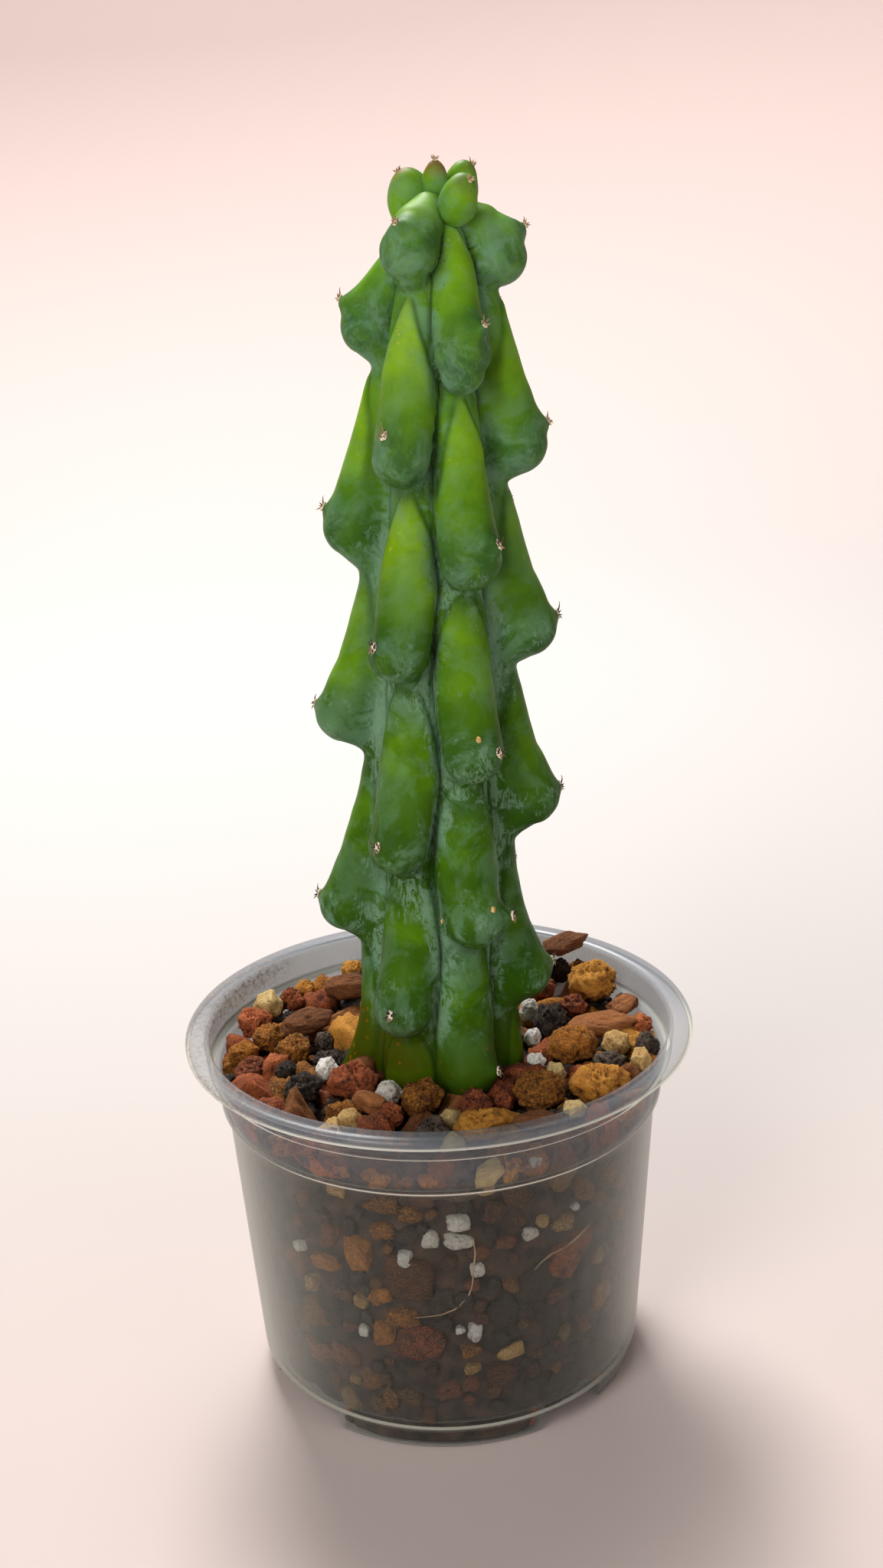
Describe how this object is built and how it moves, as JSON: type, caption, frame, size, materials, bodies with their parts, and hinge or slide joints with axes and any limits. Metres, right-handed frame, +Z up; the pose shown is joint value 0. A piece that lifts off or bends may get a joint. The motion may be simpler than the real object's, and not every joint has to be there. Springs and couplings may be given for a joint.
{
  "type": "potted boobie cactus",
  "caption": "Column cactus with large rounded, breast-shaped tubercles on its ribs, standing in a clear plastic nursery pot of mixed mineral grit.",
  "frame": {"origin": "on the pot's axis, on the surface that the pot's feet stand on", "axes": "+Z up along the stem, -Y to the front, +X to the right as seen from the front"},
  "size_m": [0.12, 0.12, 0.283],
  "materials": {
    "clear_plastic": "thin clear polypropylene, slightly milky, with a soft gloss, dust and fine scratches",
    "cactus_skin": "waxy yellow-green to dark green skin with blue-grey bloom and small tan scars",
    "grit_mix": "coarse mineral potting grit with dark fines, rough and dry",
    "ochre_pumice": "rough porous ochre grit",
    "red_lava": "rough porous red-brown lava grit",
    "black_lava": "rough porous black lava grit",
    "brown_bark": "dry brown bark chips",
    "white_perlite": "dry white perlite, matt and knobbly",
    "cream_pebble": "smooth cream-yellow pebbles"
  },
  "bodies": {
    "root": {"black_lava_1": "black_lava", "black_lava_2": "black_lava", "black_lava_3": "black_lava", "black_lava_4": "black_lava", "black_lava_5": "black_lava", "black_lava_6": "black_lava", "black_lava_7": "black_lava", "black_lava_8": "black_lava", "black_lava_9": "black_lava", "brown_bark_1": "brown_bark", "brown_bark_2": "brown_bark", "brown_bark_3": "brown_bark", "brown_bark_4": "brown_bark", "brown_bark_5": "brown_bark", "brown_bark_6": "brown_bark", "brown_bark_7": "brown_bark", "cactus_stem": "cactus_skin", "cream_pebble_1": "cream_pebble", "cream_pebble_2": "cream_pebble", "cream_pebble_3": "cream_pebble", "cream_pebble_4": "cream_pebble", "cream_pebble_5": "cream_pebble", "cream_pebble_6": "cream_pebble", "grit_bed": "grit_mix", "ochre_pumice_1": "ochre_pumice", "ochre_pumice_10": "ochre_pumice", "ochre_pumice_11": "ochre_pumice", "ochre_pumice_2": "ochre_pumice", "ochre_pumice_3": "ochre_pumice", "ochre_pumice_4": "ochre_pumice", "ochre_pumice_5": "ochre_pumice", "ochre_pumice_6": "ochre_pumice", "ochre_pumice_7": "ochre_pumice", "ochre_pumice_8": "ochre_pumice", "ochre_pumice_9": "ochre_pumice", "pot": "clear_plastic", "red_lava_1": "red_lava", "red_lava_10": "red_lava", "red_lava_2": "red_lava", "red_lava_3": "red_lava", "red_lava_4": "red_lava", "red_lava_5": "red_lava", "red_lava_6": "red_lava", "red_lava_7": "red_lava", "red_lava_8": "red_lava", "red_lava_9": "red_lava", "white_perlite_1": "white_perlite", "white_perlite_2": "white_perlite", "white_perlite_3": "white_perlite", "white_perlite_4": "white_perlite", "white_perlite_5": "white_perlite"}
  },
  "joints": []
}
